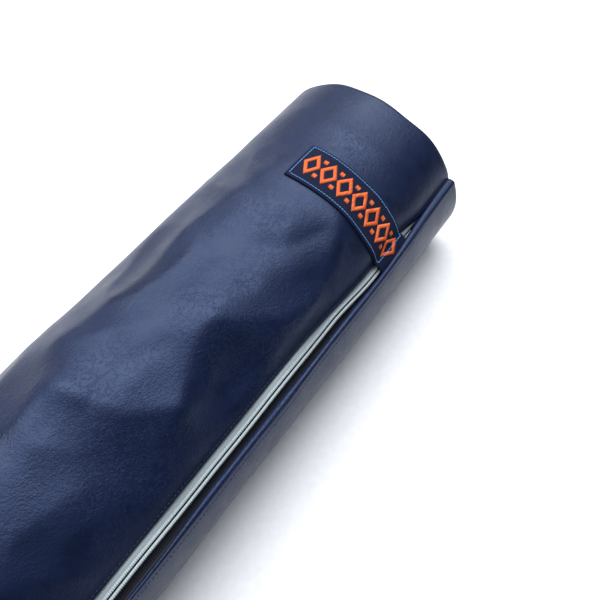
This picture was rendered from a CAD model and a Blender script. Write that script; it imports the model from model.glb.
# %% [markdown]
# # A ski bag in coated fabric
#
# The bag is a long tube of navy PVC leatherette: a knit cloth with a vinyl skin. It lies on its flat underside.
# A coil zip runs along its front, beside a flap that ends in a folded hem, and a woven label crosses one end of
# the zip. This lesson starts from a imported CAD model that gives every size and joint, and makes the looks over it.
#
# The first cell loads that model. Its pieces can't be moved. Each visible piece is made new in the same place.

# %% Load the frame
import math

import bmesh
import bpy
import numpy as np
from mathutils import Matrix, Vector, noise


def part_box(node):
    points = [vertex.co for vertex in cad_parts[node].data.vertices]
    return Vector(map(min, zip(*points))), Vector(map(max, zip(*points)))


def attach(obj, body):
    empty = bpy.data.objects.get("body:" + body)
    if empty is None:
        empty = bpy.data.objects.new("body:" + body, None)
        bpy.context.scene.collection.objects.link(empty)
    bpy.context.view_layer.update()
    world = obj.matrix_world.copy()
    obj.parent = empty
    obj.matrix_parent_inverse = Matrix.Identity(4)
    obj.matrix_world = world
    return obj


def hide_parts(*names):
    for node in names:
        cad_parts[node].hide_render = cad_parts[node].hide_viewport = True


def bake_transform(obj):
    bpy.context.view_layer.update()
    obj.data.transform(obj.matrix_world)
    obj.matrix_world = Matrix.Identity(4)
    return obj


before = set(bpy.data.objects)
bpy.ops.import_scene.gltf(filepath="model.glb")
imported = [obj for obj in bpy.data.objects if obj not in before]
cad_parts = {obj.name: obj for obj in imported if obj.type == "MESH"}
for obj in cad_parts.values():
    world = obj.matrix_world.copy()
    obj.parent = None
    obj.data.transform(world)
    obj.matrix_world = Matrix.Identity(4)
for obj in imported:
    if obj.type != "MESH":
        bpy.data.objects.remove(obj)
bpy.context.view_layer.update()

# %% [markdown]
# ## Sizes
#
# A maker's pattern has a few numbers that everything follows. These are the ones that the model was cut to, in
# metres.

# %% The pattern's numbers
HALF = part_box("upper_panel_crown")[1][0]
SECTION_Y = 0.008
BACK_HALF_WIDTH = 0.088
SEAM_HEIGHT = 0.068
TOP_RISE = 0.060
ZIP_EDGE_HEIGHT = 0.084
FLAP_HALF_WIDTH = 0.104
FLAP_HEIGHT = 0.050
HEM_HEIGHT = 0.083
SKIN = 0.0016
RIM = 0.0030
print("half the length", round(HALF, 4))

# %% [markdown]
# ## Colour and material helpers
#
# Colours are written as a designer picks them, in sRGB hex. The renderer adds up light in linear values, so one
# function converts them. A second small function adds a node with its settings and its links, which keeps each
# material below readable from top to bottom.

# %% Colour and node helpers
def colour(code):
    """The linear RGBA of an sRGB hex colour."""
    parts = [int(code[i : i + 2], 16) / 255 for i in (1, 3, 5)]
    return (*(p / 12.92 if p <= 0.04045 else ((p + 0.055) / 1.055) ** 2.4 for p in parts), 1.0)


def add_node(tree, kind, inputs=None, **settings):
    """A node of this kind. A value in inputs is a number, a colour or another node's output."""
    made = tree.nodes.new("ShaderNode" + kind)
    for name, value in settings.items():
        setattr(made, name, value)
    for name, value in (inputs or {}).items():
        if isinstance(value, bpy.types.NodeSocket):
            tree.links.new(value, made.inputs[name])
        else:
            made.inputs[name].default_value = value
    return made


def new_material(name, **values):
    """A Principled material, its tree and its shader, with these socket values set."""
    material = bpy.data.materials.new(name)
    material.use_nodes = True
    shader = material.node_tree.nodes["Principled BSDF"]
    for socket, value in values.items():
        shader.inputs[socket.replace("_", " ")].default_value = value
    return material, material.node_tree, shader


def ramp(tree, factor, stops):
    """A colour ramp on factor, with (position, colour) stops."""
    made = add_node(tree, "ValToRGB", {"Fac": factor})
    for i, (position, value) in enumerate(stops):
        element = made.color_ramp.elements[i] if i < 2 else made.color_ramp.elements.new(position)
        element.position = position
        element.color = value
    return made.outputs["Color"]


def bump(tree, shader, *layers):
    """Chains (height, strength, depth in metres) layers of relief into the shader's normal."""
    normal = None
    for height, strength, depth in layers:
        inputs = {"Height": height, "Strength": strength, "Distance": depth}
        if normal is not None:
            inputs["Normal"] = normal
        normal = add_node(tree, "Bump", inputs).outputs["Normal"]
    tree.links.new(normal, shader.inputs["Normal"])


# %% [markdown]
# ## PVC leatherette
#
# Leatherette is a knit cloth coated with soft PVC, rolled against an engraved steel roller while hot, so it
# carries a fine pebble grain about a millimetre across. Handling adds short random creases. The vinyl has an IOR
# near 1.53 and a satin finish: broad soft highlights with sparks where the grain's edges face the light. The grain
# is built from three layers of relief: pebbles from a Voronoi pattern, creases from the valleys of a warped noise,
# and a soft unevenness. The creases come in patches, as on a bag that has been folded.

# %% Make the leatherette
def leatherette(name, base, worn, roughness):
    material, tree, shader = new_material(name, IOR=1.53, Metallic=0.0, Specular_IOR_Level=0.5)
    shader.inputs["Specular Tint"].default_value = colour("#b4ccff")
    place = add_node(tree, "TexCoord").outputs["Object"]
    patches = add_node(tree, "TexNoise", {"Vector": place, "Scale": 14.0, "Detail": 3.0}).outputs["Fac"]
    tone = add_node(tree, "TexNoise", {"Vector": place, "Scale": 55.0, "Detail": 4.0}).outputs["Fac"]
    mixed = add_node(tree, "Math", {0: patches, 1: tone}, operation="ADD").outputs[0]
    tree.links.new(ramp(tree, mixed, [(0.75, base), (1.25, worn)]), shader.inputs["Base Color"])

    gloss = {"From Min": 0.3, "From Max": 0.7, "To Min": roughness - 0.05, "To Max": roughness + 0.06}
    rough = add_node(tree, "MapRange", {"Value": tone, **gloss}).outputs["Result"]
    tree.links.new(rough, shader.inputs["Roughness"])

    # Pebbles 1.2 mm across: 850 cells to the metre.
    pebbles = add_node(tree, "TexVoronoi", {"Vector": place, "Scale": 850.0}, feature="SMOOTH_F1").outputs["Distance"]
    # Creases: thin valleys of a ridged noise, their lines 2 to 6 mm apart, bent by a slower noise.
    warp = add_node(tree, "TexNoise", {"Vector": place, "Scale": 35.0, "Detail": 3.0}).outputs["Color"]
    bent = add_node(tree, "VectorMath", {0: warp, 1: (0.012, 0.012, 0.012)}, operation="MULTIPLY").outputs["Vector"]
    bent = add_node(tree, "VectorMath", {0: place, 1: bent}, operation="ADD").outputs["Vector"]
    lines = add_node(tree, "TexNoise", {"Vector": bent, "Scale": 210.0, "Detail": 5.0, "Roughness": 0.6}).outputs["Fac"]
    middle = add_node(tree, "Math", {0: lines, 1: 0.5}, operation="SUBTRACT").outputs[0]
    valley = add_node(tree, "Math", {0: middle}, operation="ABSOLUTE").outputs[0]
    valley = add_node(tree, "MapRange", {"Value": valley, "From Min": 0.0, "From Max": 0.035}).outputs["Result"]
    amount = add_node(tree, "MapRange", {"Value": patches, "From Min": 0.40, "From Max": 0.62}).outputs["Result"]
    creases = add_node(tree, "Math", {0: valley, 1: amount}, operation="MULTIPLY").outputs[0]
    soft = add_node(tree, "TexNoise", {"Vector": place, "Scale": 240.0, "Detail": 6.0}).outputs["Fac"]
    bump(tree, shader, (pebbles, 0.5, 0.0003), (creases, 0.4, 0.00026), (soft, 0.5, 0.0004))
    return material


NAVY = leatherette("pvc_leatherette_navy", colour("#0a1229"), colour("#0d1733"), 0.38)
print("leatherette made")

# %% [markdown]
# ## Cloth, coil, metal and thread
#
# The inside of the leatherette is its knit backing, matt and dark grey. Zip tape is woven polyester: ribs
# across it every 0.6 mm. The coil is nylon monofilament, a smooth plastic of IOR 1.53. The slider is a zinc casting
# with bright nickel plating, which has a metal's colour and few pits. Webbing is polypropylene with a plain weave
# of 1.5 mm ribs. Sewing thread is polyester, with a slight sheen.

# %% Make the cloth materials
def woven(name, base, light, roughness, across, along, sheen=0.0):
    """A plain weave: two sets of ribs, across X and along it, with these numbers of ribs in a metre."""
    material, tree, shader = new_material(name, Roughness=roughness, Sheen_Weight=sheen, Specular_IOR_Level=0.25)
    place = add_node(tree, "TexCoord").outputs["UV"]
    per_metre = math.pi / 10  # a wave texture of scale 1 has 10 / pi bands to the metre
    warp = add_node(tree, "TexWave", {"Vector": place, "Scale": across * per_metre}, bands_direction="X")
    weft = add_node(tree, "TexWave", {"Vector": place, "Scale": along * per_metre}, bands_direction="Y")
    ribs = add_node(tree, "Math", {0: warp.outputs["Fac"], 1: weft.outputs["Fac"]}, operation="MULTIPLY").outputs[0]
    tree.links.new(ramp(tree, ribs, [(0.0, base), (1.0, light)]), shader.inputs["Base Color"])
    bump(tree, shader, (ribs, 0.6, 0.0004))
    return material


KNIT = woven("knit_backing_black", colour("#262932"), colour("#3c404b"), 0.9, 600, 600, 0.2)
TAPE = woven("polyester_zip_tape_grey", colour("#a9b6bc"), colour("#ccd6da"), 0.7, 800, 300, 0.2)
WEBBING = woven("polypropylene_webbing_navy", colour("#10182e"), colour("#222d4c"), 0.6, 500, 330, 0.1)
LABEL = woven("woven_label_navy", colour("#070e20"), colour("#16244a"), 0.9, 650, 650)
MOTIF = woven("woven_label_orange", colour("#cc5524"), colour("#f98650"), 0.8, 650, 650)
BINDING = woven("binding_tape_black", colour("#101218"), colour("#23262f"), 0.85, 600, 300)


def moulded(name, base, light, spots, relief, **values):
    """A solid finish with this many faint spots to the metre, between two tones, and a shallow relief."""
    material, tree, shader = new_material(name, **values)
    place = add_node(tree, "TexCoord").outputs["Object"]
    mottle = add_node(tree, "TexNoise", {"Vector": place, "Scale": spots, "Detail": 4.0}).outputs["Fac"]
    tree.links.new(ramp(tree, mottle, [(0.3, base), (0.7, light)]), shader.inputs["Base Color"])
    bump(tree, shader, (mottle, 0.5, relief))
    return material


COIL = moulded("nylon_coil_grey", colour("#a9b5ba"), colour("#bcc8cc"), 700.0, 0.00005, Roughness=0.35, IOR=1.53)
NICKEL = {"Roughness": 0.25, "Metallic": 1.0}
METAL = moulded("nickel_plated_zinc", colour("#bdbbb4"), colour("#cdcbc5"), 900.0, 0.00003, **NICKEL)
THREAD = moulded("polyester_thread_blue", colour("#4f8ad2"), colour("#68a4ea"), 2500.0, 0.0001, Roughness=0.45)
THREAD_NAVY = moulded("polyester_thread_navy", colour("#202d52"), colour("#2c3b66"), 2500.0, 0.0001, Roughness=0.5)
print("cloth materials made")

# %% [markdown]
# ## The bag's section
#
# Each strip of the skin follows one outline across the bag. Two tables of closely spaced points hold them: the
# upper panel's, from the zip over the top to the back seam, and the lower panel's, from the back seam under the
# bag and up the flap to its hem. A place on the skin is then a distance along the bag and a distance across it,
# as on the flat cloth. Towards each end the upper panel widens to close over the zip, so it has a second table.

# %% Tables of the section
def superellipse(half_width, centre, rise, squareness, angle):
    across, up = np.cos(angle), np.sin(angle)
    y = np.sign(across) * np.abs(across) ** (2 / squareness) * half_width
    z = np.sign(up) * np.abs(up) ** (2 / squareness) * rise
    return np.stack([SECTION_Y + y, centre + z], axis=-1)


def by_distance(points, count=900):
    """The path's points at even distances, and its length."""
    steps = np.r_[0, np.cumsum(np.linalg.norm(np.diff(points, axis=0), axis=1))]
    even = np.linspace(0, steps[-1], count)
    return np.stack([np.interp(even, steps, points[:, k]) for k in (0, 1)], axis=-1), steps[-1]


def upper_path(front_half_width, edge_height, squareness):
    """From the zip over the top to the back seam."""
    angle = np.linspace(0, math.pi, 4001)[::-1]
    back = np.cos(angle) > 0
    half = np.where(back, BACK_HALF_WIDTH, front_half_width)
    points = superellipse(half, SEAM_HEIGHT, TOP_RISE, np.where(back, 1.8, squareness), angle)
    keep = (points[:, 0] > SECTION_Y) | (points[:, 1] >= edge_height)
    return by_distance(points[keep])


OPEN_PATH, UPPER_LENGTH = upper_path(0.0835, ZIP_EDGE_HEIGHT, 1.8)
CLOSED_PATH, CLOSED_LENGTH = upper_path(0.0890, HEM_HEIGHT - 0.0035, 2.02)

angle = -np.linspace(0, math.pi, 4001)
back = np.cos(angle) > 0
under = superellipse(
    np.where(back, BACK_HALF_WIDTH, FLAP_HALF_WIDTH),
    np.where(back, SEAM_HEIGHT, FLAP_HEIGHT),
    np.where(back, 0.072, 0.054),
    2.6,
    angle,
)
under[:, 1] = np.maximum(under[:, 1], 0.0)
LOWER_PATH, LOWER_LENGTH = by_distance(under)
print("across the upper panel", round(UPPER_LENGTH, 4), "and the lower one", round(LOWER_LENGTH, 4))


# %% [markdown]
# ## Ends, dents and folds
#
# A limp skin never lies on a perfect tube. Three things move it: the upper panel closing over the zip at the
# ends, the broad dents where nothing inside holds it up, and the small waves along its edges. Each is a smooth
# function of the place on the cloth, so the label, the stitches and the handle's patches that lie on the skin
# follow it exactly. The noise is Blender's own, which gives the same value at the same place every time.

# %% Functions that move the skin
def smooth(value, start, end):
    t = np.clip((value - start) / (end - start), 0, 1)
    return t * t * (3 - 2 * t)


def near_label(x):
    """0 along most of the bag, rising to 1 where the label pulls the zip towards the flap."""
    return smooth(x, HALF - 0.230, HALF - 0.125)


def closing(x):
    """0 where the zip shows and 1 where the upper panel reaches the flap."""
    shut = smooth(np.abs(x), HALF - 0.084, HALF - 0.050)
    return shut + 0.55 * near_label(x) * (1 - shut)


def hem_shift(x):
    """How far the flap's hem leans in towards the upper panel near each end."""
    lean = 0.0085 * smooth(np.abs(x), HALF - 0.150, HALF + 0.010)
    return lean + 0.0008 * np.sin(x * 31.0) * np.sin(x * 12.7 + 1.0)


# Where the dents are: along the bag from its end (less than 0 is from the tail), up from the zip, their reach
# along and up, and their depth, all in mm.
DENTS = [
    (168, 26, 26, 20, 3.5),
    (280, 32, 36, 30, 6.0),
    (362, 52, 36, 34, 6.0),
    (120, 150, 44, 24, 2.5),
    (235, 158, 60, 22, 3.5),
    (-170, 40, 40, 28, 5.0),
    (-300, 38, 50, 32, 7.0),
    (-380, 84, 60, 30, 5.0),
    (-250, 150, 70, 26, 5.0),
]
# The folds between them: height, width, and the places that each runs through, measured the same way. The skin
# bends sharply along a fold and is nearly flat beside it, as a coated cloth does. A height under 0 is a valley.
FOLDS = [
    (4.5, 22, [(128, 52), (150, 40), (168, 28), (204, 21), (216, 29), (240, 51), (254, 67)]),
    (4.5, 20, [(254, 67), (270, 67), (290, 57), (314, 45)]),
    (4.0, 18, [(314, 45), (338, 66), (346, 92), (354, 111)]),
    (4.0, 26, [(354, 111), (400, 113), (470, 98), (560, 104)]),
    (-2.5, 14, [(146, 56), (170, 64), (188, 84), (214, 100)]),
    (-2.0, 12, [(290, 80), (318, 92), (352, 88)]),
    (3.0, 20, [(395, 58), (430, 66), (470, 52)]),
    (4.5, 24, [(-130, 50), (-180, 74), (-230, 58), (-262, 72), (-330, 66)]),
    (3.5, 24, [(-330, 66), (-360, 100), (-450, 92), (-540, 104)]),
    (2.0, 14, [(150, 128), (210, 140), (260, 132), (330, 144)]),
]


def from_fold(x, t, places):
    """The distance over the cloth to a line through these places."""
    nearest = np.full(x.shape, 9.0)
    line = [(math.copysign(HALF, along) - along / 1000, up / 1000) for along, up in places]
    for (ax, at_t), (bx, bt) in zip(line, line[1:]):
        run = (bx - ax) ** 2 + (bt - at_t) ** 2
        share = np.clip(((x - ax) * (bx - ax) + (t - at_t) * (bt - at_t)) / run, 0, 1)
        nearest = np.minimum(nearest, np.hypot(x - ax - share * (bx - ax), t - at_t - share * (bt - at_t)))
    return nearest


def smooth_noise(x, t, scale, seed):
    """Noise over the cloth, roughly from -1 to 1, as an array."""
    flat = [noise.noise(Vector((a * scale, b * scale, seed))) for a, b in zip(x.ravel(), t.ravel())]
    return np.array(flat).reshape(x.shape)


def upper_dent(x, t):
    """How far the upper panel stands out of its pattern, in metres."""
    depth = np.zeros_like(x)
    for along, up, reach_x, reach_t, amount in DENTS:
        centre = math.copysign(HALF, along) - along / 1000
        round_off = ((x - centre) / (reach_x / 1000)) ** 2 + ((t - up / 1000) / (reach_t / 1000)) ** 2
        depth -= amount / 1000 * np.exp(-round_off)
    for height, width, places in FOLDS:
        away = np.hypot(from_fold(x, t, places), 0.003) - 0.003
        depth += height / 1000 * np.exp(-away * 1000 / width)
    calm = smooth(HALF - np.abs(x), 0.0, 0.10) * smooth(t, 0.0, 0.02) * smooth(UPPER_LENGTH - t, 0.0, 0.04)
    middle = smooth(HALF - np.abs(x), 0.38, 0.55)
    broad = 0.0050 * smooth_noise(x, t, 9.0, 3.1) * (0.35 + 0.65 * middle)
    folds = 0.0016 * (1 - np.abs(smooth_noise(x, t, 22.0, 8.7)) * 3)
    handle = 1 - smooth(0.24 - np.abs(x), 0.0, 0.05)
    return (depth + broad * handle + folds * handle * 0.6) * calm


def lower_dent(x, s):
    """The same for the lower panel. Its flat underside stays on the ground."""
    calm = smooth(HALF - np.abs(x), 0.0, 0.08)
    broad = 0.0030 * smooth_noise(x, s + 5.0, 8.0, 6.2) * smooth(s, 0.0, 0.04)
    flap = 0.0014 * smooth_noise(x, s + 9.0, 16.0, 1.4) * smooth(s, LOWER_LENGTH - 0.05, LOWER_LENGTH)
    return broad * calm + flap


def at(path, length, distance):
    """Points of a table at these distances, run on straight past its start."""
    share = np.clip(distance / length, 0, 1) * (len(path) - 1)
    index = np.minimum(share.astype(int), len(path) - 2)
    part = (share - index)[..., None]
    points = path[index] * (1 - part) + path[index + 1] * part
    start = (path[1] - path[0]) / np.linalg.norm(path[1] - path[0])
    return points + start * np.minimum(distance, 0)[..., None]


def sideways(points_before, points_after):
    """Unit vectors out of the bag, from points a little before and after along the panel."""
    along = points_after - points_before
    along /= np.linalg.norm(along, axis=-1, keepdims=True)
    return np.stack([-along[..., 1], along[..., 0]], axis=-1)


def upper_place(x, t, lift, dent=True):
    """Points on the upper panel: along the bag, up from the zip, and out of the skin."""
    x, t, lift = np.broadcast_arrays(np.asarray(x, float), t, lift)

    def section(distance):
        shut = closing(x)[..., None]
        opened = at(OPEN_PATH, UPPER_LENGTH, distance)
        closed = at(CLOSED_PATH, CLOSED_LENGTH, distance * CLOSED_LENGTH / UPPER_LENGTH)
        return opened * (1 - shut) + closed * shut

    out = sideways(section(t - 0.0004), section(t + 0.0004))
    height = lift + (upper_dent(x, t) if dent else 0.0)
    yz = section(t) + out * height[..., None]
    return np.stack([x, yz[..., 0], yz[..., 1]], axis=-1)


def flap_top():
    """The flap above its widest place as (how far it leans in, height), up to the fold."""
    share = np.linspace(0, 1, 60)[1:]
    return np.stack([0.0065 * share**2, FLAP_HEIGHT + (HEM_HEIGHT - 0.002 - FLAP_HEIGHT) * share], axis=-1)


def lower_table(shift):
    """The lower panel's whole path, its top leaning in by shift at the hem."""
    top = flap_top()
    share = np.linspace(0, 1, 60)[1:, None]
    top[:, 0] = SECTION_Y - FLAP_HALF_WIDTH + top[:, 0]
    leans = 0.4 * max(shift, 0.0) + min(shift, 0.0)
    turn = 0.002 + 0.3 * max(shift, 0.0)  # the fold opens out where the hem leans in
    front = top + np.hstack([share**1.6 * leans, np.zeros_like(share)])
    fold = np.linspace(math.pi, 0, 15)[1:]
    end = front[-1]
    crest = np.stack([end[0] + turn + turn * np.cos(fold), end[1] + 0.002 * np.sin(fold)], axis=-1)
    tuck = crest[-1] - np.stack([np.zeros(8), np.linspace(0, 0.018, 9)[1:]], axis=-1)
    return by_distance(np.vstack([LOWER_PATH, front, crest, tuck]), 1400)


SHIFTS = np.linspace(-0.002, 0.010, 25)
LOWER_TABLES = [lower_table(s) for s in SHIFTS]
WHOLE_LENGTH = LOWER_TABLES[4][1]


def lower_place(x, s, lift, dent=True):
    """Points on the lower panel: along the bag, on from the back seam, and out of the skin."""
    x, s, lift = np.broadcast_arrays(np.asarray(x, float), s, lift)
    paths = np.array([table[0] for table in LOWER_TABLES])
    where = np.clip((hem_shift(x) - SHIFTS[0]) / (SHIFTS[1] - SHIFTS[0]), 0, len(SHIFTS) - 1.001)
    low = where.astype(int)
    part = (where - low)[..., None]

    def section(distance):
        share = np.clip(distance / WHOLE_LENGTH, 0, 1) * (paths.shape[1] - 1)
        index = np.minimum(share.astype(int), paths.shape[1] - 2)
        rest = (share - index)[..., None]
        lower = paths[low, index] * (1 - rest) + paths[low, index + 1] * rest
        upper = paths[low + 1, index] * (1 - rest) + paths[low + 1, index + 1] * rest
        return lower * (1 - part) + upper * part

    out = sideways(section(s - 0.0003), section(s + 0.0003))
    height = lift + (lower_dent(x, s) if dent else 0.0)
    yz = section(s) + out * height[..., None]
    yz[..., 1] = np.maximum(yz[..., 1], 0.0 - np.minimum(lift, 0))
    return np.stack([x, yz[..., 0], yz[..., 1]], axis=-1)


print("a place on top of the bag", upper_place(0.0, 0.09, 0.0).round(4))

# %% [markdown]
# ## From grids to meshes
#
# A panel of cloth is a grid of places on its pattern. The grid can turn round an edge, so a sheet with a front,
# a rolled edge and a back is one grid whose rows go round it. UVs hold the cloth's own distances in metres, so a
# weave keeps its scale wherever the cloth goes.

# %% Mesh helpers
def grid_object(name, points, uv, material, inner=None, inner_rows=()):
    """A mesh of a grid of points, with UVs in metres. Rows in inner_rows take the inner material."""
    columns, rows = points.shape[:2]
    across = np.arange(columns * rows).reshape(columns, rows)
    quads = np.stack([across[:-1, :-1], across[1:, :-1], across[1:, 1:], across[:-1, 1:]], axis=-1)
    mesh = bpy.data.meshes.new(name)
    mesh.from_pydata(points.reshape(-1, 3).tolist(), [], quads.reshape(-1, 4).tolist())
    layer = mesh.uv_layers.new(name="cloth")
    corner = np.zeros(len(mesh.loops), np.int32)
    mesh.loops.foreach_get("vertex_index", corner)
    layer.data.foreach_set("uv", uv.reshape(-1, 2)[corner].astype(np.float32).ravel())
    mesh.materials.append(material)
    if inner is not None:
        mesh.materials.append(inner)
        width = across.shape[1] - 1
        slots = np.tile([1 if row in inner_rows else 0 for row in range(width)], columns - 1)
        mesh.polygons.foreach_set("material_index", slots.astype(np.int32))
    mesh.shade_smooth()
    made = bpy.data.objects.new(name, mesh)
    bpy.context.scene.collection.objects.link(made)
    return made


def join_parts(name, parts, material):
    """One mesh of many (points, faces) parts."""
    points, faces = [], []
    for part_points, part_faces in parts:
        base = len(points)
        points += [tuple(p) for p in part_points]
        faces += [tuple(base + i for i in face) for face in part_faces]
    mesh = bpy.data.meshes.new(name)
    mesh.from_pydata(points, [], faces)
    mesh.materials.append(material)
    mesh.shade_smooth()
    made = bpy.data.objects.new(name, mesh)
    bpy.context.scene.collection.objects.link(made)
    return made


def stations(start, end, fine_from, fine, coarse):
    """Places along the bag from start to end, closer together beyond fine_from."""
    places = [start]
    while places[-1] < end - 1e-6:
        step = fine if places[-1] >= fine_from else coarse
        places.append(min(places[-1] + step, end))
    return np.array(places)


# %% [markdown]
# ## The upper panel
#
# On the real bag this is one wide strip of leatherette, with its front edge turned under beside the zip. It is
# made as two halves that meet in the middle, because each half has to stay sewn to its own end of the bag while
# the mouth opens between them. At the end of the bag the skin rolls inwards over the end panel's seam.

# %% Make the upper panel
def rolled_rim(count=7):
    """(how far past the rim's start, lift) of the skin as it rolls inwards at the end of the bag."""
    turn = np.linspace(0, math.pi, count)[1:]
    return [(RIM * math.sin(a), -RIM * (1 - math.cos(a))) for a in turn] + [(-0.004, -2 * RIM)]


def rim_wave(t):
    """The end of the bag isn't cut perfectly straight."""
    return 0.0010 * np.sin(t * 52.0 + 0.6) + 0.0006 * np.sin(t * 131.0 + 2.0)


def panel_half(name, side, place, profile):
    """Half of a panel. profile is rows of (distance across, lift, is inner)."""
    xs = stations(0.0, HALF - RIM, 0.40, 0.0030, 0.0060)
    across = np.array([p[0] for p in profile])
    lift = np.array([p[1] for p in profile])
    grid = place(side * xs[:, None], across[None, :], lift[None, :])
    grid[:, :, 0] += side * rim_wave(across)[None, :] * smooth(xs, HALF - 0.05, HALF - RIM)[:, None]
    ends = []
    outside = np.array([0.0 if p[2] else 1.0 for p in profile])
    for past, inward in rolled_rim():
        rise = lift + inward * outside - (1 - outside) * RIM * 0.5
        ring = place(side * np.full(len(across), HALF - RIM), across, rise)
        ring[:, 0] += side * (past + rim_wave(across))
        ends.append(ring)
    grid = np.concatenate([grid, np.array(ends)], axis=0)
    along = np.r_[xs, HALF - RIM + 0.002 * np.arange(1, len(ends) + 1)]
    uv = np.stack(np.broadcast_arrays(along[:, None] * side, across[None, :]), axis=-1)
    rows = profile[::side]
    inner_rows = [i for i in range(len(rows) - 1) if rows[i][2] and rows[i + 1][2]]
    return grid_object(name, grid[:, ::side], uv[:, ::side], NAVY, inner=KNIT, inner_rows=inner_rows)


def cloth_profile(start, end, step, edge):
    """Rows for a sheet: its outer face, a rounded front edge, and its inner face."""
    count = int((end - start) / step) + 1
    outer = [(t, 0.0, False) for t in np.linspace(end, start, count)]
    turn = np.linspace(0, math.pi, 6)[1:]
    turned = [(start - edge * math.sin(a), -edge * (1 - math.cos(a)), False) for a in turn]
    inner = [(t, -2 * edge, True) for t in np.linspace(start + step, end, count // 2)]
    return outer + turned + inner


UPPER_PROFILE = cloth_profile(0.0, UPPER_LENGTH - 0.0004, 0.0030, SKIN / 2)
upper_halves = []
for name, side in (("tip", 1), ("tail", -1)):
    half = panel_half(f"upper_skin_{name}", side, upper_place, UPPER_PROFILE)
    upper_halves.append(half)
    print(half.name, len(half.data.polygons), "faces")

# %% [markdown]
# ## The lower panel and its flap
#
# This strip starts at the back seam, lies flat under the bag, and comes up the front as the flap. Its top edge is
# folded over and sewn down as a hem, which stands beside the zip like a lip. Towards each end the hem leans in
# until it touches the upper panel. It never opens, so it is one piece.

# %% Make the lower panel
def lower_profile():
    outer = [(s, 0.0, False) for s in np.linspace(0.0004, LOWER_LENGTH + 0.028, 100)]
    fold = [(s, 0.0, False) for s in np.linspace(LOWER_LENGTH + 0.0285, WHOLE_LENGTH - 0.0005, 22)]
    inner = [(s, -SKIN, True) for s in np.linspace(LOWER_LENGTH + 0.030, 0.0004, 60)]
    return outer, fold, inner


def whole_panel(name, rows):
    xs = stations(0.0, HALF - RIM, 0.40, 0.0035, 0.0070)
    xs = np.r_[-xs[::-1], xs[1:]]
    across = np.array([p[0] for p in rows])
    lift = np.array([p[1] for p in rows])
    outside = np.array([0.0 if p[2] else 1.0 for p in rows])
    grid = lower_place(xs[:, None], across[None, :], lift[None, :])
    for side in (-1, 1):
        ends = []
        for past, inward in rolled_rim():
            ring = lower_place(np.full(len(across), side * (HALF - RIM)), across, lift + inward * outside)
            ring[:, 0] += side * past
            ends.append(ring)
        grid = np.concatenate([grid, ends] if side > 0 else [ends[::-1], grid], axis=0)
    along = grid[:, 0, 0]
    uv = np.stack(np.broadcast_arrays(along[:, None], across[None, :]), axis=-1)
    inner_rows = [i for i in range(len(rows) - 1) if rows[i][2] and rows[i + 1][2]]
    return grid_object(name, grid, uv, NAVY, inner=KNIT, inner_rows=inner_rows)


outer_rows, fold_rows, inner_rows = lower_profile()
lower_skin = whole_panel("lower_skin", outer_rows + fold_rows)
lower_lining = whole_panel("lower_lining", inner_rows)
print(lower_skin.name, len(lower_skin.data.polygons), "faces")

# %% [markdown]
# ## The zip
#
# A coil zip is two woven tapes, each with a nylon monofilament wound along its edge. The upper tape is sewn
# behind the panel's turned edge and shows beside it. The lower tape is sewn at once to a black knit facing,
# which turns down under its coil and lines the dark trough between the zip and the flap. Each coil is one strip
# whose height rises and falls with its turns, which is far lighter than a wound tube and looks much the same
# from outside. The upper tape and coil are in two halves, like the panel that carries them.

# %% Make the tapes and coils
ZIP_SLOPE = math.radians(25)
ACROSS = np.array([-math.cos(ZIP_SLOPE), -math.sin(ZIP_SLOPE)])
FACING = np.array([-math.sin(ZIP_SLOPE), math.cos(ZIP_SLOPE)])
TAPE_SHOWN, COIL_WIDTH, COIL_HEIGHT, SLIT, TAPE_THICK = 0.0052, 0.0022, 0.0016, 0.0011, 0.0006
SLIT_START = TAPE_SHOWN + COIL_WIDTH
SLIT_END = SLIT_START + SLIT
ZIP_MIDDLE = (SLIT_START + SLIT_END) / 2
ZIP_CORNER = upper_place(0.0, 0.0, -SKIN - 0.0003)[1:] - np.array([0.0, SKIN + 0.0003])
COIL_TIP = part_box("upper_zip_coil")[1][0]


def zip_wave(x):
    """The zip isn't perfectly straight either."""
    return 0.0006 * np.sin(x * 37.0 + 0.5) + 0.0005 * np.sin(x * 83.0)


def zip_drift(x):
    """How far the label pulls the zip over, as (y, z)."""
    return 0.0032 * smooth(x, HALF - 0.185, HALF - 0.125)[..., None] * ACROSS


def on_zip(across, facing):
    return ZIP_CORNER + ACROSS * across + FACING * facing


def extrude(name, section, xs, material, **inner):
    """A grid of one closed section, repeated along the bag and swaying with the zip."""
    section = np.array(section)
    grid = np.zeros((len(xs), len(section), 3))
    grid[:, :, 0] = xs[:, None]
    grid[:, :, 1:] = section[None, :, :] + zip_drift(xs)[:, None, :]
    grid[:, :, 2] += zip_wave(xs)[:, None]
    around = np.r_[0, np.cumsum(np.linalg.norm(np.diff(section, axis=0), axis=1))]
    uv = np.stack(np.broadcast_arrays(xs[:, None], around[None, :]), axis=-1)
    return grid_object(name, grid, uv, material, **inner)


def tape_section(path):
    """The outline of a tape that follows path, closed on itself."""
    path = np.array(path)
    along = np.gradient(path, axis=0)
    along /= np.linalg.norm(along, axis=1, keepdims=True)
    under = path + np.stack([-along[:, 1], along[:, 0]], axis=1) * TAPE_THICK
    return np.vstack([path, under[::-1], path[:1]])


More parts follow.
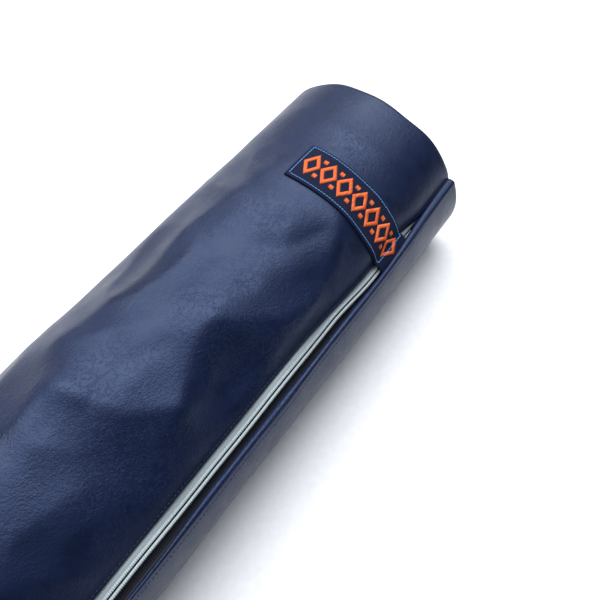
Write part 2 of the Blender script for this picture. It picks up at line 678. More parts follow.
def coil_grid(name, start, xs_from, xs_to):
    """A coil of turns 1.5 mm apart, four places to a turn."""
    xs = np.arange(xs_from, xs_to, 0.0015 / 4)
    arch = np.linspace(0, math.pi, 7)
    across = start + COIL_WIDTH / 2 * (1 - np.cos(arch))
    wave = 0.72 + 0.28 * np.cos(np.arange(len(xs)) * math.pi / 2)
    height = 0.0002 + COIL_HEIGHT * np.sin(arch)[None, :] ** 0.6 * wave[:, None]
    yz = ZIP_CORNER + across[None, :, None] * ACROSS + height[..., None] * FACING
    grid = np.concatenate([np.broadcast_to(xs[:, None, None], (len(xs), 7, 1)), yz], axis=-1)
    grid[:, :, 1:] += zip_drift(xs)[:, None, :]
    grid[:, :, 2] += zip_wave(xs)[:, None]
    uv = np.stack(np.broadcast_arrays(xs[:, None], across[None, :]), axis=-1)
    return grid_object(name, grid, uv, COIL)


leg = upper_place(0.0, np.linspace(0.008, 0.0, 4), -SKIN - 0.0003, dent=False)[:, 1:]
upper_section = tape_section([*leg, on_zip(0.0, 0.0), on_zip(TAPE_SHOWN / 2, 0.0005), on_zip(SLIT_START, 0.0)])
turn = on_zip(SLIT_END + COIL_WIDTH + 0.0003, 0.0)
hem_y = SECTION_Y - FLAP_HALF_WIDTH + 0.0065 + 0.0040
trough = [(turn[0] + 0.0015, 0.075), (turn[0] + 0.001, 0.067), (hem_y + 0.0010, 0.067), (hem_y + 0.0010, 0.0725)]
lower_section = tape_section([on_zip(SLIT_END, 0.0), turn, *trough])
zip_halves = []
for name, side in (("tip", 1), ("tail", -1)):
    ends = sorted((0.0, side * (HALF - 0.030)))
    zip_halves.append(extrude(f"upper_tape_{name}", upper_section, np.arange(ends[0], ends[1] + 0.004, 0.008), TAPE))
    ends = sorted((0.0, side * COIL_TIP))
    zip_halves.append(coil_grid(f"upper_coil_{name}", TAPE_SHOWN, ends[0], ends[1]))
facing_rows = range(1, len(lower_section) - 3)
lower_xs = np.arange(-HALF + 0.080, HALF - 0.060, 0.008)
lower_tape = extrude("lower_tape", lower_section, lower_xs, TAPE, inner=KNIT, inner_rows=facing_rows)
lower_coil = coil_grid("lower_coil", SLIT_END, -COIL_TIP, COIL_TIP)
print("turns in each coil", round(2 * COIL_TIP / 0.0015))

# %% [markdown]
# ## Stitches
#
# Lockstitch shows as short raised dashes, each a little arched, about 3 mm apart. One function lays them along
# any line on the cloth, given as places and the directions out of the cloth. They are all one mesh per seam.

# %% Lay rows of stitches
def resample(points, step):
    """Places every step along a line, and the line's direction there."""
    points = np.asarray(points, float)
    steps = np.r_[0, np.cumsum(np.linalg.norm(np.diff(points, axis=0), axis=1))]
    even = np.arange(step / 2, steps[-1], step)
    places = np.stack([np.interp(even, steps, points[:, k]) for k in range(3)], axis=-1)
    ahead = np.stack([np.interp(even + step * 0.2, steps, points[:, k]) for k in range(3)], axis=-1)
    behind = np.stack([np.interp(even - step * 0.2, steps, points[:, k]) for k in range(3)], axis=-1)
    along = ahead - behind
    return places, along / np.linalg.norm(along, axis=-1, keepdims=True), even / steps[-1]


def stitch_row(lines, pitch=0.0032, length=0.0024, thick=0.00028):
    """Parts for join_parts: dashes along each (points on the cloth, the same points raised by 1 mm) pair."""
    parts = []
    rings = ((-0.5, 0.2, -0.4), (-0.34, 0.9, 0.1), (0.0, 1.0, 0.5), (0.34, 0.9, 0.1), (0.5, 0.2, -0.4))
    faces = [
        (5 * r + i, 5 * r + (i + 1) % 5, 5 * r + 5 + (i + 1) % 5, 5 * r + 5 + i) for r in range(4) for i in range(5)
    ]
    for points, raised in lines:
        places, along, share = resample(points, pitch)
        steps = np.linspace(0, 1, len(raised))
        out = np.stack([np.interp(share, steps, (np.asarray(raised) - points)[:, k]) for k in range(3)], axis=-1)
        out /= np.linalg.norm(out, axis=-1, keepdims=True)
        for place, ahead, up in zip(places, along, out):
            aside = np.cross(ahead, up)
            ring_points = [
                place
                + ahead * length * far
                + up * thick * (rise + size * math.sin(a))
                + aside * thick * size * math.cos(a)
                for far, size, rise in rings
                for a in np.arange(5) * 2 * math.pi / 5
            ]
            parts.append((ring_points, faces))
    return parts


def cloth_line(place, x, distance, lift=0.0):
    """A line on a panel and the same line raised by 1 mm."""
    x, distance = np.broadcast_arrays(np.asarray(x, float), distance)
    return place(x, distance, lift), place(x, distance, lift + 0.001)


long_line = stations(0.0, HALF - 0.006, 0.40, 0.006, 0.010)
seams = {"tip": [], "tail": []}
for name, side in (("tip", 1), ("tail", -1)):
    for distance in (0.0028, UPPER_LENGTH - 0.0045):
        seams[name].append(cloth_line(upper_place, side * long_line, distance))
stitch_halves = [join_parts(f"upper_stitches_{name}", stitch_row(lines), THREAD_NAVY) for name, lines in seams.items()]
both_ways = np.r_[-long_line[::-1], long_line[1:]]
flap_lines = [cloth_line(lower_place, both_ways, LOWER_LENGTH + 0.0285), cloth_line(lower_place, both_ways, 0.0045)]
lower_stitches = join_parts("lower_stitches", stitch_row(flap_lines), THREAD_NAVY)
print(len(lower_stitches.data.polygons) // 20, "stitches along the flap and the back seam")

# %% [markdown]
# ## The woven label
#
# The label is a 40 mm tape of woven polyester, doubled, its edges folded under. It is sewn to the panel with one
# box of blue stitches, runs down over the zip and tucks in behind the flap. A chain of diamonds is woven into it
# in orange. The surface is found once as a table, and the motif and the stitches are then laid on it.

# %% Make the label
LABEL_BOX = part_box("label_tape")
LABEL_X = (LABEL_BOX[0][0] + LABEL_BOX[1][0]) / 2
LABEL_HALF = (LABEL_BOX[1][0] - LABEL_BOX[0][0]) / 2
LABEL_UP = 0.109
TUCK = np.array([SECTION_Y - 0.0936, 0.0765])


def label_columns(lift):
    """Places over the label: 21 columns across it, 220 rows from its sewn end to the flap."""
    columns = []
    for u in np.linspace(-LABEL_HALF, LABEL_HALF, 21):
        line = upper_place(LABEL_X + u, np.linspace(LABEL_UP, 0.003, 60), lift)[:, 1:]
        last = line[-1]
        shares = (0.3, 0.6, 0.8, 1.0)
        over = np.array([last + (TUCK - last) * f + np.array([0.0, 0.0016 * math.sin(f * math.pi)]) for f in shares])
        even, length = by_distance(np.vstack([line, over]), 220)
        columns.append(np.column_stack([np.full(220, LABEL_X + u), even]))
    return np.array(columns), length


LABEL_LOW, LABEL_RUN = label_columns(0.0003)
LABEL_HIGH = label_columns(0.0013)[0]
LABEL_OUT = (LABEL_HIGH - LABEL_LOW) / np.linalg.norm(LABEL_HIGH - LABEL_LOW, axis=-1, keepdims=True)


def on_label(u, d, lift):
    """Places on the label: u across it from its middle, d from its sewn end, in metres."""
    u, d, lift = np.broadcast_arrays(np.asarray(u, float), d, lift)
    a = np.clip((u / LABEL_HALF + 1) / 2, 0, 1) * 20
    b = np.clip(d / LABEL_RUN, 0, 1) * 219
    i, j = np.minimum(a.astype(int), 19), np.minimum(b.astype(int), 218)
    fa, fb = (a - i)[..., None], (b - j)[..., None]

    def mix(table):
        near = table[i, j] * (1 - fb) + table[i, j + 1] * fb
        far = table[i + 1, j] * (1 - fb) + table[i + 1, j + 1] * fb
        return near * (1 - fa) + far * fa

    return mix(LABEL_LOW) + mix(LABEL_OUT) * lift[..., None]


def make_label():
    across = [(-LABEL_HALF, 0.0), (-LABEL_HALF, 0.0008)]
    inside = np.linspace(-LABEL_HALF + 0.0006, LABEL_HALF - 0.0006, 25)
    across += [(u, 0.0016 + 0.0003 * math.cos(u / LABEL_HALF * 1.5)) for u in inside]
    across += [(LABEL_HALF, 0.0008), (LABEL_HALF, 0.0)]
    along = np.linspace(0.0008, LABEL_RUN, 130)
    u = np.array([a[0] for a in across])
    lift = np.array([a[1] for a in across])
    grid = on_label(u[None, :], along[:, None], lift[None, :])
    start = on_label(u, 0.0, lift * 0.5)
    under = on_label(u, 0.0, 0.0)
    grid = np.concatenate([[under, start], grid])
    along = np.r_[-0.0012, 0.0, along]
    uv = np.stack(np.broadcast_arrays(u[None, :], along[:, None]), axis=-1)
    return grid_object("label_cloth", grid, uv, LABEL)


LABEL_TOP = 0.0019
label = make_label()


def ribbon_on_label(line, width, close):
    """A flat woven stroke along a line of (u, d) points, its corners mitred."""
    line = np.array(line, float)
    count = len(line)
    edges = []
    for i in range(count):
        before = line[(i - 1) % count] if close or i else line[i]
        after = line[(i + 1) % count] if close or i < count - 1 else line[i]
        into = line[i] - before if np.any(line[i] != before) else after - line[i]
        away = after - line[i] if np.any(after != line[i]) else into
        into, away = into / np.linalg.norm(into), away / np.linalg.norm(away)
        along = (into + away) / np.linalg.norm(into + away)
        reach = width / 2 / max(along @ into, 0.4)
        aside = np.array([-along[1], along[0]]) * reach
        edges.append((line[i] + aside, line[i] - aside))
    if close:
        edges.append(edges[0])
    parts = []
    for (a, b), (c, d) in zip(edges, edges[1:]):
        share = np.linspace(0, 1, 7)
        left, right = a + (c - a) * share[:, None], b + (d - b) * share[:, None]
        sides = ((left, -0.0003), (left, 0.00022), (right, 0.00022), (right, -0.0003))
        rows = [on_label(q[:, 0], q[:, 1], LABEL_TOP + h) for q, h in sides]
        points = np.array(rows).transpose(1, 0, 2).reshape(-1, 3)
        faces = [(4 * i + j, 4 * i + j + 1, 4 * i + j + 5, 4 * i + j + 4) for i in range(6) for j in range(3)]
        parts.append((points, faces))
    return parts


def woven_motif():
    """A chain of open diamonds with small solid ones between them."""
    parts = []
    pitch, count = 0.0162, 7
    for k in range(count):
        d = 0.0135 + pitch * k
        parts += ribbon_on_label([(-0.0096, d), (0.0, d - 0.0061), (0.0096, d), (0.0, d + 0.0061)], 0.0030, True)
        if k < count - 1:
            for u in (-0.0084, 0.0084):
                parts += ribbon_on_label([(u, d + pitch / 2 - 0.0019), (u, d + pitch / 2 + 0.0019)], 0.0038, False)
    return parts


motif = join_parts("label_motif", woven_motif(), MOTIF)
layer = motif.data.uv_layers.new(name="cloth")
for loop in motif.data.loops:
    place = motif.data.vertices[loop.vertex_index].co
    layer.data[loop.index].uv = (place.x, place.z - place.y)


def label_stitches():
    inset, start, end = 0.0026, 0.0034, LABEL_RUN - 0.0115
    half = LABEL_HALF - inset
    corners = [(-half, start), (half, start), (half, end), (-half, end), (-half, start)]
    lines = []
    for (ua, da), (ub, db) in zip(corners, corners[1:]):
        share = np.linspace(0, 1, 60)
        u, d = ua + (ub - ua) * share, da + (db - da) * share
        lines.append((on_label(u, d, LABEL_TOP - 0.0001), on_label(u, d, LABEL_TOP + 0.0009)))
    return stitch_row(lines, 0.0027, 0.0023, 0.00042)


label_thread = join_parts("label_stitches", label_stitches(), THREAD)
print("the label runs", round(LABEL_RUN, 4))

# %% [markdown]
# ## The tab at the tail
#
# The other end of the zip is finished with a short plain tab of the bag's own leatherette, sewn the same way.

# %% Make the tail tab
TAIL_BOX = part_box("tail_zip_tab")


def make_tail_tab():
    xs = np.linspace(TAIL_BOX[0][0], TAIL_BOX[1][0], 24)
    rows = [(0.026, 0.0004), (0.0262, 0.0012), (0.0255, 0.0017), *((t, 0.0018) for t in np.linspace(0.024, 0.002, 10))]
    grid = upper_place(xs[:, None], np.array([r[0] for r in rows])[None, :], np.array([r[1] for r in rows])[None, :])
    last = grid[:, -1:, 1:]
    over = [last + (TUCK - last) * f + np.array([0.0, 0.0014 * math.sin(f * math.pi)]) for f in (0.25, 0.5, 0.75, 1.0)]
    along = np.broadcast_to(xs[:, None, None], (24, 1, 1))
    over = np.concatenate([np.concatenate([along, o], axis=-1) for o in over], axis=1)
    grid = np.concatenate([grid, over], axis=1)
    for k in (0, -1):
        edge = grid[k].copy()
        edge[:, 2] -= 0.0012
        grid = np.concatenate([[edge], grid] if k == 0 else [grid, [edge]])
    uv = np.stack(np.broadcast_arrays(grid[:, :, 0], np.arange(grid.shape[1])[None, :] * 0.003), axis=-1)
    tab = grid_object("tail_tab", grid, uv, NAVY)
    edge = cloth_line(upper_place, xs[2:-2], 0.0230, 0.0018)
    sides = [cloth_line(upper_place, xs[k], np.linspace(0.0230, 0.004, 20), 0.0018) for k in (2, -3)]
    return tab, join_parts("tail_tab_stitches", stitch_row([edge, *sides]), THREAD_NAVY)


tail_tab, tail_tab_thread = make_tail_tab()
print(tail_tab.name)

# %% [markdown]
# ## End panels and bindings
#
# Each end is a flat panel of leatherette sewn in from the inside, so it sits a few millimetres in from the rolled
# rim and puckers a little along its seam. Inside, a binding tape covers the raw edges.

# %% Make the ends
def end_outline(side, lift, x):
    upper = upper_place(np.full(70, side * (HALF - RIM)), np.linspace(UPPER_LENGTH, 0.002, 70), lift)
    lower = lower_place(np.full(90, side * (HALF - RIM)), np.linspace(LOWER_LENGTH + 0.024, 0.001, 90), lift)
    outline = np.concatenate([upper, lower])
    outline[:, 0] = side * x
    return outline


def weld(piece):
    """Joins the points that lie in one place, which closes the middle and the grid's own seam."""
    work = bmesh.new()
    work.from_mesh(piece.data)
    bmesh.ops.remove_doubles(work, verts=work.verts, dist=0.00001)
    work.to_mesh(piece.data)
    work.free()
    return piece


def make_end(name, side):
    outline = end_outline(side, -2 * RIM + 0.0012, HALF - RIM - 0.0035)
    middle = np.array([outline[0, 0], SECTION_Y - 0.004, 0.064])
    rings = [outline]
    share = np.arange(len(outline)) / len(outline)
    puckered = ((0.985, 0.0006, 0.0005), (0.95, 0.0010, 0.0007), (0.88, 0.0012, 0.0004))
    plain = ((0.7, 0.0014, 0.0), (0.4, 0.0016, 0.0), (0.0, 0.0017, 0.0))
    for scale, bulge, pucker in puckered + plain:
        ring = middle + (outline - middle) * scale
        ring[:, 0] += side * (bulge + pucker * np.sin(share * 2 * math.pi * 37))
        rings.append(ring)
    grid = np.array(rings)
    grid = np.concatenate([grid, grid[:, :1]], axis=1)
    return weld(grid_object(name, grid[:, ::side], grid[:, ::side, 1:], NAVY))


def make_binding(name, side):
    rings = []
    for past, lift in ((0.0, -0.0062), (0.0, -0.0072), (0.007, -0.0075), (0.014, -0.0072), (0.0145, -0.0066)):
        rings.append(end_outline(side, lift + 0.0035, HALF - 0.0085 - past))
    grid = np.array(rings)
    grid = np.concatenate([grid, grid[:, :1]], axis=1)
    around = np.arange(grid.shape[1]) * 0.0035
    uv = np.stack(np.broadcast_arrays(around[None, :], np.array([0, 0.001, 0.008, 0.015, 0.016])[:, None]), axis=-1)
    return grid_object(name, grid, uv, BINDING)


def make_back_binding():
    """The tape over the back seam, inside: a flat loop of a section, drawn in to a point at both ends."""
    low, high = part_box("back_seam_binding")
    xs = np.linspace(low[0], high[0], 401)
    # Each row is how far down from the seam it is and how far out of the skin, in mm: out along the skin, then back.
    on_skin = [(-8, -2.7), (-4, -2.2), (0, -1.9), (4, -1.9), (8, -1.9)]
    inside = [(8, -2.8), (4, -2.8), (0, -2.8), (-4, -3.1), (-8, -3.6)]
    down, lift = np.array(on_skin + inside + on_skin[:1]).T / 1000
    grid = lower_place(xs[:, None], down[None, :], lift[None, :])
    middles = np.repeat(grid[[0, -1], :-1].mean(axis=1)[:, None], grid.shape[1], axis=1)
    grid = np.concatenate([middles[:1], grid, middles[1:]], axis=0)
    uv = np.stack(np.broadcast_arrays(grid[:, :, 0], 0.0016 * np.arange(grid.shape[1])[None, :]), axis=-1)
    return weld(grid_object("back_binding", grid, uv, BINDING))


back_binding = make_back_binding()
ends = {
    name: (make_end(f"{name}_end", side), make_binding(f"{name}_binding", side))
    for name, side in (("tip", 1), ("tail", -1))
}
print(len(ends), "ends")

# %% [markdown]
# ## The carry handle
#
# One length of 30 mm webbing makes the loop. Each foot is sewn to a leatherette patch with a box of stitches and a
# cross in it, and a leatherette grip is wrapped round the middle. At rest the loop lies down against the bag's
# front, so all of it is laid on the skin, by distance along the bag and up from the zip.

# %% Make the handle
FOOT_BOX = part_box("tip_handle_foot")
FOOT_X = (FOOT_BOX[0][0] + FOOT_BOX[1][0]) / 2
HANDLE_LINE, HANDLE_DROP, HANDLE_CORNER, FOOT_LENGTH = 0.094, 0.076, 0.034, 0.046
HANDLE_WIDTH, HANDLE_THICK = 0.030, 0.0024
PATCH_FACE = 0.0019
STRAP_FACE = PATCH_FACE + 0.0003 + HANDLE_THICK


def strap_route():
    low = HANDLE_LINE - HANDLE_DROP
    leg = [(-FOOT_X, t) for t in np.linspace(HANDLE_LINE - 0.0003, low + HANDLE_CORNER, 12)[:-1]]
    bend = [
        (-FOOT_X + HANDLE_CORNER * (1 + math.cos(a)), low + HANDLE_CORNER * (1 + math.sin(a)))
        for a in np.linspace(math.pi, 1.5 * math.pi, 14)
    ]
    middle = [(x, low) for x in np.linspace(-FOOT_X + HANDLE_CORNER, 0, 12)[1:]]
    half = leg + bend + middle
    return np.array(half + [(-x, t) for x, t in half[-2::-1]])


def strap_grid(name, route, width, top, thick, material):
    """A strap laid on the skin along a route of (x, t), with rounded selvedges."""
    along = np.gradient(route, axis=0)
    along /= np.linalg.norm(along, axis=1, keepdims=True)
    aside = np.stack([-along[:, 1], along[:, 0]], axis=1)
    half = width / 2
    rows = [(u, top - 0.00012 * abs(u / half) ** 6) for u in np.linspace(-half + 0.0006, half - 0.0006, 17)]
    rows += [(half, top - thick / 2), (half - 0.0006, top - thick)]
    rows += [(u, top - thick) for u in np.linspace(half - 0.004, -half + 0.004, 6)]
    rows += [(-half + 0.0006, top - thick), (-half, top - thick / 2), rows[0]]
    u = np.array([r[0] for r in rows])
    lift = np.array([r[1] for r in rows])
    x = route[:, None, 0] + aside[:, None, 0] * u[None, :]
    t = route[:, None, 1] + aside[:, None, 1] * u[None, :]
    grid = upper_place(x, t, lift[None, :])
    run = np.r_[0, np.cumsum(np.linalg.norm(np.diff(route, axis=0), axis=1))]
    uv = np.stack(np.broadcast_arrays(u[None, :], run[:, None]), axis=-1)
    return grid_object(name, grid, uv, material)


def sleeve(name, low, half, reach, top, bottom, material):
    """A flat tube round the loop's middle."""
    xs = np.linspace(-reach, reach, 60)
    turn = np.linspace(0, 2 * math.pi, 49)
    width = half * np.sign(np.cos(turn)) * np.abs(np.cos(turn)) ** 0.35
    rise = (top + bottom) / 2 + (top - bottom) / 2 * np.sign(np.sin(turn)) * np.abs(np.sin(turn)) ** 0.8
    grid = upper_place(xs[:, None], (low + width)[None, :], rise[None, :])
    middle = (top + bottom) / 2
    ends = [upper_place(np.full(49, x), low + width * 0.9, middle + (rise - middle) * 0.5) for x in (-reach, reach)]
    grid = np.concatenate([[ends[0]], grid, [ends[1]]])
    uv = np.stack(np.broadcast_arrays(np.r_[xs[0], xs, xs[-1]][:, None], turn[None, :] * 0.01), axis=-1)
    return grid_object(name, grid, uv, material)


def patch_grid(name, x_mid, half, t_from, t_to, top, material):
    """A flat rectangle of cloth on the skin, its edges turned under."""
    face_u = [(u, top) for u in np.linspace(-half + 0.0008, half - 0.0008, 19)]
    face_t = [(t, 1.0) for t in np.linspace(t_from + 0.0010, t_to - 0.0010, 25)]
    us = [(-half, 0.0003), (-half, top * 0.6), *face_u, (half, top * 0.6), (half, 0.0003)]
    ts = [(t_from, 0.0), (t_from + 0.0002, 0.6), *face_t, (t_to - 0.0002, 0.6), (t_to, 0.0)]
    u, lift = np.array(us).T
    t, scale = np.array(ts).T
    grid = upper_place(x_mid + u[:, None], t[None, :], np.minimum(lift[:, None], top * scale[None, :] + 0.0003))
    uv = np.stack(np.broadcast_arrays(u[:, None], t[None, :]), axis=-1)
    return grid_object(name, grid, uv, material)


def sewn_box(x_mid, half, t_from, t_to, lift, cross):
    corners = [(x_mid - half, t_from), (x_mid + half, t_from), (x_mid + half, t_to), (x_mid - half, t_to)]
    runs = list(zip(corners, corners[1:] + corners[:1]))
    if cross:
        runs += [(corners[0], corners[2]), (corners[1], corners[3])]
    lines = []
    for (xa, ta), (xb, tb) in runs:
        share = np.linspace(0, 1, 30)
        lines.append(cloth_line(upper_place, xa + (xb - xa) * share, ta + (tb - ta) * share, lift))
    return lines


route = strap_route()
low = HANDLE_LINE - HANDLE_DROP
strap = strap_grid("handle_webbing", route, HANDLE_WIDTH, STRAP_FACE, HANDLE_THICK, WEBBING)
bottom = STRAP_FACE - HANDLE_THICK
grip = sleeve("handle_wrap", low, HANDLE_WIDTH / 2 + 0.0018, 0.055, STRAP_FACE + 0.0018, bottom - 0.0016, NAVY)
over_grip = np.linspace(low - 0.013, low + 0.013, 20)
grip_ends = [cloth_line(upper_place, x, over_grip, STRAP_FACE + 0.0018) for x in (-0.051, 0.051)]
grip_thread = join_parts("handle_wrap_stitches", stitch_row(grip_ends), THREAD_NAVY)
patches, feet, handle_lines = [], [], []
for name, side in (("tip", 1), ("tail", -1)):
    x = side * FOOT_X
    top = HANDLE_LINE + FOOT_LENGTH
    patches.append(patch_grid(f"{name}_patch", x, 0.025, HANDLE_LINE - 0.010, top + 0.010, PATCH_FACE, NAVY))
    feet.append(patch_grid(f"{name}_foot", x, 0.015, HANDLE_LINE + 0.0003, top, STRAP_FACE, WEBBING))
    handle_lines += sewn_box(x, 0.0222, HANDLE_LINE - 0.0072, top + 0.0072, PATCH_FACE, False)
    handle_lines += sewn_box(x, 0.0118, HANDLE_LINE + 0.0040, top - 0.0040, STRAP_FACE, True)
handle_thread = join_parts("handle_stitches", stitch_row(handle_lines), THREAD_NAVY)
print("webbing in the loop", round(float(np.linalg.norm(np.diff(route, axis=0), axis=1).sum()), 3))

# %% [markdown]
# ## The slider and its pull
#
# The slider is die-cast: two plates shaped like a blunt leaf, joined inside, with a crown on top that the pull tab
# hangs from. The pull is a flat stamped tab with rounded corners and an eye. Both are made from outlines that are
# extruded and bevelled, because a casting has no sharp edges.

# %% Make the slider and pull
def zip_frame(x):
    """Takes (along, across the zip, out of it) to the row's frame, from the slider's middle."""
    corner = Vector((x, *(on_zip(ZIP_MIDDLE, 0.0) + zip_drift(np.array(x)))))
    corner.z += float(zip_wave(x))
    columns = Matrix(((1, 0, 0), (0, ACROSS[0], FACING[0]), (0, ACROSS[1], FACING[1])))
    return Matrix.Translation(corner) @ columns.to_4x4()


def cast_piece(name, outline, low, high, frame_matrix, bevel, hole=None):
    """An outline of (along, across) points made solid between two heights, with softened edges."""
    curve = bpy.data.curves.new(name, "CURVE")
    curve.dimensions = "2D"
    curve.fill_mode = "BOTH"
    for points in (outline, hole) if hole else (outline,):
        spline = curve.splines.new("POLY")
        spline.points.add(len(points) - 1)
        for point, (a, b) in zip(spline.points, points):
            point.co = (a, b, 0, 1)
        spline.use_cyclic_u = True
    curve.extrude = (high - low) / 2 - bevel
    curve.bevel_depth = bevel
    curve.bevel_resolution = 2
    curve.offset = -bevel
    made = bpy.data.objects.new(name, curve)
    bpy.context.scene.collection.objects.link(made)
    bpy.context.view_layer.update()
    mesh = bpy.data.meshes.new_from_object(made.evaluated_get(bpy.context.evaluated_depsgraph_get()))
    bpy.data.objects.remove(made)
    mesh.transform(frame_matrix @ Matrix.Translation((0, 0, (low + high) / 2)))
    mesh.materials.clear()
    mesh.materials.append(METAL)
    mesh.shade_smooth()
    mesh.set_sharp_from_angle(angle=math.radians(50))
    piece = bpy.data.objects.new(name, mesh)
    bpy.context.scene.collection.objects.link(piece)
    return piece


def rounded(a0, a1, half, radius, count=6):
    """A rectangle from a0 to a1 along and half each side, with round corners."""
    points = []
    far, near, side = a1 - radius, a0 + radius, half - radius
    for ca, cb, start in ((far, side, 0), (near, side, 90), (near, -side, 180), (far, -side, 270)):
        for k in range(count):
            turn_angle = math.radians(start + 90 * k / (count - 1))
            points.append((ca + radius * math.cos(turn_angle), cb + radius * math.sin(turn_angle)))
    return points


SLIDER_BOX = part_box("slider_body")
SLIDER_X = (SLIDER_BOX[0][0] + SLIDER_BOX[1][0]) / 2
SLIDER_HALF = (SLIDER_BOX[1][0] - SLIDER_BOX[0][0]) / 2
PLATE_LOW = 0.0006 + COIL_HEIGHT
PLATE_HIGH = PLATE_LOW + 0.0011
WINDOW = 0.0034
at_slider = zip_frame(SLIDER_X)
leaf = [(-1, -0.0021), (-0.7, -0.0031), (0.5, -0.00335), (0.9, -0.0030), (1, -0.0022)]
leaf = [(SLIDER_HALF * a, b) for a, b in leaf]
leaf = leaf + [(a, -b) for a, b in leaf[::-1]]
post = [(-0.0050, -0.00022), (0.0050, -0.00022), (0.0050, 0.00022), (-0.0050, 0.00022)]
plates = [
    cast_piece("slider_top_plate", leaf, PLATE_LOW, PLATE_HIGH, at_slider, 0.0003),
    cast_piece("slider_under_plate", leaf, -0.0020, -0.0009, at_slider, 0.0003),
    cast_piece("slider_post", post, -0.0010, PLATE_LOW + 0.0002, at_slider, 0.00005),
]
side_on = at_slider @ Matrix(((1, 0, 0, 0), (0, 0, 1, 0), (0, 1, 0, PLATE_HIGH - 0.0002), (0, 0, 0, 1)))
arch = [(-0.0043, 0), (-0.0043, 0.0034), (-0.0034, 0.0045), (0.0034, 0.0045), (0.0043, 0.0034), (0.0043, 0)]
arch += [(0.0032, 0), (0.0032, 0.0030), (0.0027, 0.0036), (-0.0027, 0.0036), (-0.0032, 0.0030), (-0.0032, 0)]
plates.append(cast_piece("slider_crown", arch, -0.0010, 0.0010, side_on, 0.0002))
droop = Matrix.Rotation(math.radians(3.5), 4, "Y")
at_tab = at_slider @ Matrix.Translation((0, 0, PLATE_HIGH + WINDOW / 2)) @ droop
blade = rounded(-0.00065, 0.032, 0.0030, 0.0014)
eye = rounded(0.00065, 0.00665, 0.0018, 0.0006)[::-1]
tab = cast_piece("pull_plate", blade, -0.00062, 0.00062, at_tab, 0.0003, eye)
print("slider in", len(plates), "pieces")

# %% [markdown]
# ## Floor, light and camera
#
# The bag lies on a white table under one large soft light above and behind it, which gives the top its broad
# grey sheen. The room in front stays dim, so the side towards the zip falls off to a deep navy.

# %% Set the stage
def set_stage():
    bpy.ops.mesh.primitive_plane_add(size=60.0, location=(0, 0, -0.0002))
    floor = bpy.context.object
    floor.name = "white_table"
    material = moulded("white_matt_board", colour("#f1f2f4"), colour("#f7f8fa"), 160.0, 0.0003, Roughness=0.6)
    floor.data.materials.append(material)

    world = bpy.data.worlds.new("dim_room")
    world.use_nodes = True
    bpy.context.scene.world = world
    tree = world.node_tree
    way = add_node(tree, "TexCoord").outputs["Generated"]
    toward = add_node(tree, "VectorMath", {0: way, 1: (0.15, 0.40, 0.90)}, operation="DOT_PRODUCT").outputs["Value"]
    shade = ramp(tree, toward, [(0.15, (0.035, 0.04, 0.05, 1)), (0.85, (0.74, 0.77, 0.84, 1))])
    tree.links.new(shade, tree.nodes["Background"].inputs["Color"])


def add_light(name, place, target, size, power):
    light = bpy.data.lights.new(name, "AREA")
    light.shape = "RECTANGLE"
    light.size, light.size_y = size
    light.energy = power
    made = bpy.data.objects.new(name, light)
    made.location = place
    made.rotation_euler = (Vector(target) - Vector(place)).to_track_quat("-Z", "Y").to_euler()
    bpy.context.scene.collection.objects.link(made)


set_stage()
bpy.context.scene.view_settings.view_transform = "Standard"
add_light("softbox_above", (1.15, 0.62, 1.55), (0.75, 0.0, 0.0), (2.4, 1.7), 53.0)

# %% [markdown]
# ## The camera
#
# The camera looks down along the bag from above its front, close to the tip end, so the far end runs out of the
# picture. A lens of 33 mm on a full-frame sensor at half a metre gives the strong taper. Nothing is out of focus.

# %% Set the camera
def set_camera(place, yaw, pitch, roll, lens):
    """yaw and pitch aim it, and roll turns the picture, in radians."""
    ahead = Vector((math.cos(pitch) * math.cos(yaw), math.cos(pitch) * math.sin(yaw), -math.sin(pitch)))
    level = ahead.cross(Vector((0, 0, 1))).normalized()
    above = level.cross(ahead)
    right = level * math.cos(roll) + above * math.sin(roll)
    up = above * math.cos(roll) - level * math.sin(roll)
    camera = bpy.data.objects.new("camera", bpy.data.cameras.new("camera"))
    camera.data.sensor_width = 36.0
    camera.data.lens = lens
    turned = Matrix((right, up, -ahead)).transposed().to_4x4()
    camera.matrix_world = Matrix.Translation(place) @ turned
    bpy.context.scene.collection.objects.link(camera)
    bpy.context.scene.camera = camera


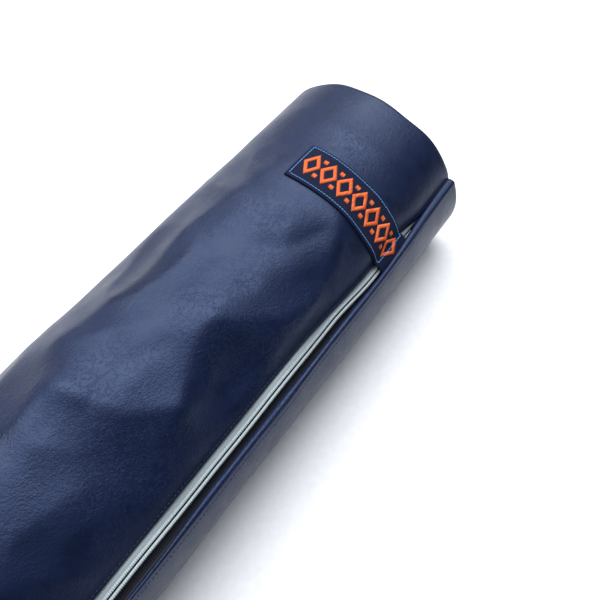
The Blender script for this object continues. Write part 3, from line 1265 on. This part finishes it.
set_camera((HALF - 0.3545, SECTION_Y - 0.1675, 0.4727), 0.591, 1.091, 0.059, 32.8)

# %% [markdown]
# ## Which body carries what
#
# The two halves of the upper panel, its stitches, tape and coil follow the mouth in the middle of the bag and stay
# with the shell at the ends, so the bag gapes between two sewn ends as a real one does.

# %% Ride the bodies
REPLACED = {
    "upper_skin_tip": ["upper_panel_back", "upper_panel_crown", "upper_panel_front"],
    "upper_tape_tip": ["upper_zip_tape"],
    "upper_coil_tip": ["upper_zip_coil"],
    "lower_skin": ["lower_panel_back", "lower_panel_base", "lower_panel_front"],
    "lower_tape": ["lower_zip_tape"],
    "lower_coil": ["lower_zip_coil"],
    "label_cloth": ["label_tape"],
    "tail_tab": ["tail_zip_tab"],
    "tip_end": ["tip_end_panel"],
    "tail_end": ["tail_end_panel"],
    "tip_binding": ["tip_seam_binding"],
    "tail_binding": ["tail_seam_binding"],
    "back_binding": ["back_seam_binding"],
    "handle_webbing": ["handle_strap"],
    "handle_wrap": ["handle_grip"],
    "tip_patch": ["tip_handle_patch"],
    "tail_patch": ["tail_handle_patch"],
    "tip_foot": ["tip_handle_foot"],
    "tail_foot": ["tail_handle_foot"],
    "slider_top_plate": ["slider_body"],
    "pull_plate": ["pull_tab"],
}


def ride_all():
    for piece in [*upper_halves, *zip_halves, *stitch_halves]:
        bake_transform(piece)
    for piece in (lower_skin, lower_lining, lower_tape, lower_coil, lower_stitches):
        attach(piece, "shell")
    for piece in (label, motif, label_thread, tail_tab, tail_tab_thread):
        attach(piece, "shell")
    for piece in [*ends["tip"], *ends["tail"], back_binding]:
        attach(piece, "shell")
    for piece in [*patches, *feet, handle_thread]:
        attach(piece, "mouth")
    for piece in (strap, grip, grip_thread):
        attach(piece, "handle")
    for piece in plates:
        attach(piece, "slider")
    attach(tab, "tab")


ride_all()
for name, nodes in REPLACED.items():
    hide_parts(*nodes)
for node in ("upper_top_stop", "lower_top_stop", "bottom_stop"):
    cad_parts[node].data.materials[0] = METAL
print(len(REPLACED), "replaced")
